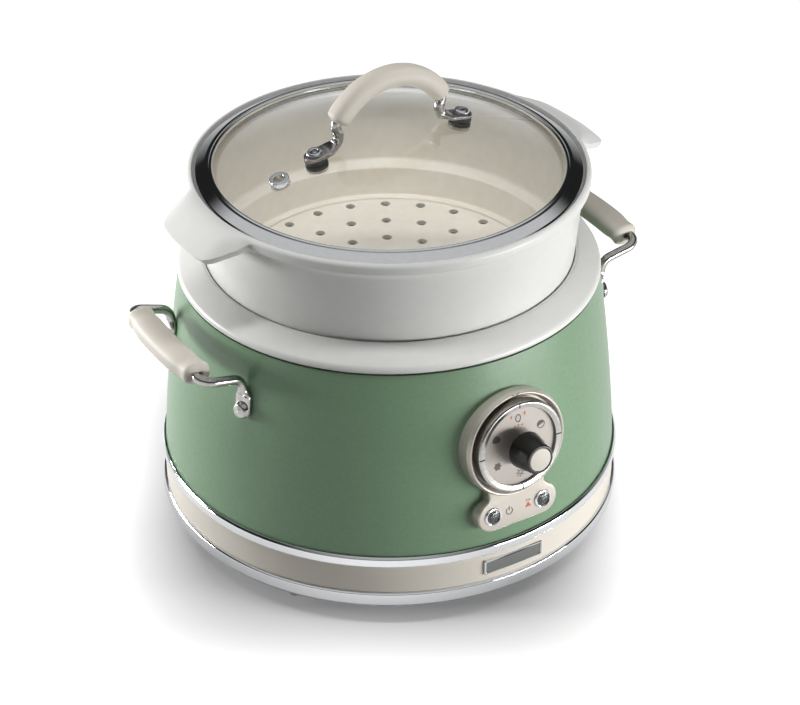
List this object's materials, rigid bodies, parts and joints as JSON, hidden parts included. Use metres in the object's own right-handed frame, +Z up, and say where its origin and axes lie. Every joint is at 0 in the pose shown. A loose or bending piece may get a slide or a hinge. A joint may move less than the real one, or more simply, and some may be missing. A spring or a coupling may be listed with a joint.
{
  "type": "multicooker",
  "caption": "Round retro multicooker with a heated painted base, a removable pot, a steamer basket with side wings, a domed glass lid and a front selector dial.",
  "frame": {"origin": "middle of the floor plane under the feet, on the cooker's axis", "axes": "+Z up; the control panel faces -Y; the side handles, the lid handle and the steamer's wings lie along X"},
  "size_m": [0.316, 0.3016, 0.2883],
  "materials": {
    "sage_paint": "glossy enamel paint",
    "white_plastic": "glossy moulded polypropylene",
    "cream_plastic": "satin moulded plastic",
    "champagne_plastic": "pearl champagne moulded plastic",
    "chrome": "polished chrome plate",
    "silver_face": "silver painted plastic",
    "black_plastic": "black moulded plastic",
    "lens": "smoked clear plastic",
    "glass": "clear tempered glass",
    "steel": "zinc plated or bare steel",
    "brass": "plated brass",
    "aluminium": "cast or pressed aluminium",
    "board": "glass-fibre circuit board",
    "fuse": "ceramic body",
    "silicone": "silicone rubber",
    "lead": "silicone covered leads"
  },
  "bodies": {
    "base": {"bottom_plate": "steel", "feet": "cream_plastic", "foot_screws": "steel", "lower_trim_ring": "chrome", "base_band": "cream_plastic", "badge_plate": "chrome", "upper_trim_ring": "chrome", "outer_shell": "sage_paint", "top_collar": "white_plastic", "inner_liner": "steel", "liner_standoffs": "steel", "standoff_screws": "steel", "heating_plate": "aluminium", "heating_element": "steel", "plate_posts": "steel", "thermal_fuse": "fuse", "thermostat_housing": "steel", "thermostat_spring": "steel", "control_bezel": "champagne_plastic", "lamp_bezels": "chrome", "lamp_lenses": "lens", "control_board": "board", "board_screws": "steel", "selector_switch": "black_plastic", "power_inlet": "black_plastic", "inlet_pins": "brass", "internal_wiring": "lead", "left_handle_bracket": "chrome", "left_handle_grip": "cream_plastic", "right_handle_bracket": "chrome", "right_handle_grip": "cream_plastic", "handle_screws": "chrome", "handle_nuts": "steel"},
    "dial": {"dial_shaft": "steel", "dial_ring": "chrome", "dial_face": "silver_face", "knob_grip": "black_plastic", "knob_cap": "cream_plastic"},
    "sensor": {"thermostat_plunger": "aluminium"},
    "pot": {"inner_pot": "aluminium"},
    "steamer": {"steamer_basket": "white_plastic"},
    "lid": {"lid_glass": "glass", "lid_rim": "chrome", "vent_grommet": "chrome", "lid_handle_rod": "chrome", "lid_handle_grip": "cream_plastic", "lid_handle_posts": "chrome", "lid_handle_washers": "silicone"}
  },
  "joints": [
    {"name": "dial_turn", "type": "hinge", "parent": "base", "child": "dial", "pos_m": [0, -0.13153, 0.11], "axis": [0, 0.9933, -0.1153], "range_deg": [0, 300]},
    {"name": "sensor_press", "type": "slide", "parent": "base", "child": "sensor", "axis": [0, 0, 1], "range_m": [-0.003, 0], "stiffness_N_per_m": 300, "springref_m": 0.005, "deforming": ["thermostat_spring"]},
    {"name": "pot_lift", "type": "slide", "parent": "base", "child": "pot", "axis": [0, 0, 1], "range_m": [0, 0.16]},
    {"name": "basket_lift", "type": "slide", "parent": "pot", "child": "steamer", "axis": [0, 0, 1], "range_m": [0, 0.1]},
    {"name": "lid_lift", "type": "slide", "parent": "steamer", "child": "lid", "axis": [0, 0, 1], "range_m": [0, 0.12]}
  ]
}
